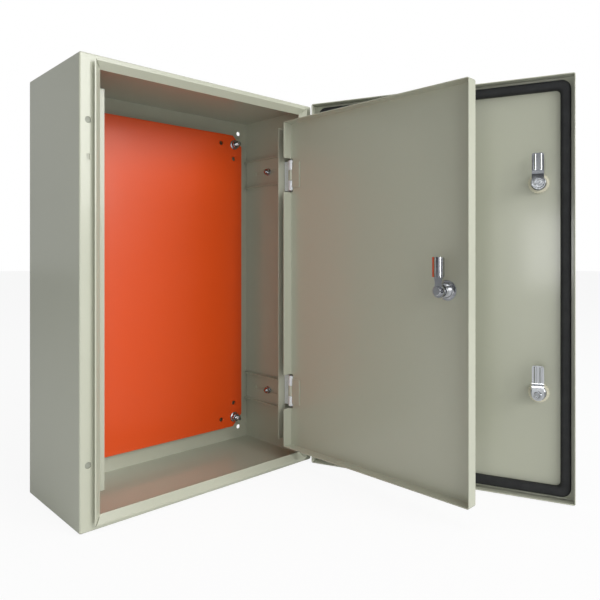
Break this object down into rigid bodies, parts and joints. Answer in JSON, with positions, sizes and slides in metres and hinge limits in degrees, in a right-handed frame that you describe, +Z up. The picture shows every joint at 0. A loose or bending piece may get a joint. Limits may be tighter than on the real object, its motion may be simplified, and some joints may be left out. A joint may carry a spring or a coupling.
{
  "type": "dc combiner box enclosure",
  "caption": "Wall-mounted painted sheet-steel enclosure with a gasketed outer door, a lockable inner door and a bright mounting plate, both doors standing open.",
  "frame": {"origin": "centre of the back panel's outer face, where the enclosure meets the wall", "axes": "+Z up, +Y into the wall, +X to the hinge side as seen from the front; the front faces -Y"},
  "size_m": [0.5495, 0.5638, 0.6],
  "materials": {
    "paint": "semi-gloss pebble grey powder coat",
    "plate_enamel": "glossy orange enamel",
    "zinc": "bright zinc plate",
    "chrome": "chrome plate",
    "steel": "plain steel",
    "seal": "matt black foam",
    "nylon": "cream nylon",
    "plug_plastic": "matt grey plastic"
  },
  "bodies": {
    "cabinet": {"cabinet_shell": "paint", "door_post_left": "paint", "door_post_right": "paint", "flange_plug_lower": "plug_plastic", "flange_plug_upper": "plug_plastic", "inner_hinge_lower_frame_leaf": "zinc", "inner_hinge_lower_pin": "steel", "inner_hinge_upper_frame_leaf": "zinc", "inner_hinge_upper_pin": "steel", "mounting_plate": "plate_enamel", "outer_hinge_lower_frame_arm": "zinc", "outer_hinge_lower_pin": "steel", "outer_hinge_upper_frame_arm": "zinc", "outer_hinge_upper_pin": "steel", "plate_nut_left_lower": "zinc", "plate_nut_left_upper": "zinc", "plate_nut_right_lower": "zinc", "plate_nut_right_upper": "zinc", "plate_stud_left_lower": "zinc", "plate_stud_left_upper": "zinc", "plate_stud_right_lower": "zinc", "plate_stud_right_upper": "zinc", "rail_nut_left_lower": "zinc", "rail_nut_left_upper": "zinc", "rail_nut_right_lower": "zinc", "rail_nut_right_upper": "zinc", "side_rail_left_lower": "paint", "side_rail_left_upper": "paint", "side_rail_right_lower": "paint", "side_rail_right_upper": "paint"},
    "outer_door": {"outer_door_gasket": "seal", "outer_door_panel": "paint", "outer_hinge_lower_door_bracket": "zinc", "outer_hinge_upper_door_bracket": "zinc", "outer_lock_lower_housing": "zinc", "outer_lock_lower_ring_nut": "nylon", "outer_lock_upper_housing": "zinc", "outer_lock_upper_ring_nut": "nylon"},
    "inner_door": {"inner_door_panel": "paint", "inner_hinge_lower_door_leaf": "paint", "inner_hinge_upper_door_leaf": "paint", "inner_lock_housing": "chrome", "inner_lock_ring_nut": "chrome"},
    "outer_latch_upper": {"outer_lock_upper_cam": "zinc", "outer_lock_upper_cam_screw": "zinc", "outer_lock_upper_core": "zinc"},
    "outer_latch_lower": {"outer_lock_lower_cam": "zinc", "outer_lock_lower_cam_screw": "zinc", "outer_lock_lower_core": "zinc"},
    "inner_latch": {"inner_lock_cam": "chrome", "inner_lock_cam_nut": "chrome", "inner_lock_core": "chrome"}
  },
  "joints": [
    {"name": "outer_door_hinge", "type": "hinge", "parent": "cabinet", "child": "outer_door", "pos_m": [0.1978, -0.19, 0], "axis": [0, 0, 1], "range_deg": [-111.5, 3.5]},
    {"name": "inner_door_hinge", "type": "hinge", "parent": "cabinet", "child": "inner_door", "pos_m": [0.1695, -0.1605, 0], "axis": [0, 0, 1], "range_deg": [-91.25, 2.9]},
    {"name": "outer_lock_upper_turn", "type": "hinge", "parent": "outer_door", "child": "outer_latch_upper", "pos_m": [0.32135, -0.51729, 0.15], "axis": [0.9304, 0.3665, 0], "range_deg": [0, 90]},
    {"name": "outer_lock_lower_turn", "type": "hinge", "parent": "outer_door", "child": "outer_latch_lower", "pos_m": [0.32135, -0.51729, -0.15], "axis": [0.9304, 0.3665, 0], "range_deg": [0, 90]},
    {"name": "inner_lock_turn", "type": "hinge", "parent": "inner_door", "child": "inner_latch", "pos_m": [0.16532, -0.46215, 0], "axis": [0.9998, 0.0209, 0], "range_deg": [0, 90]}
  ],
  "couplings": [
    {"joint": "inner_door_hinge", "follows": "outer_door_hinge", "ratio": 0.81794}
  ]
}
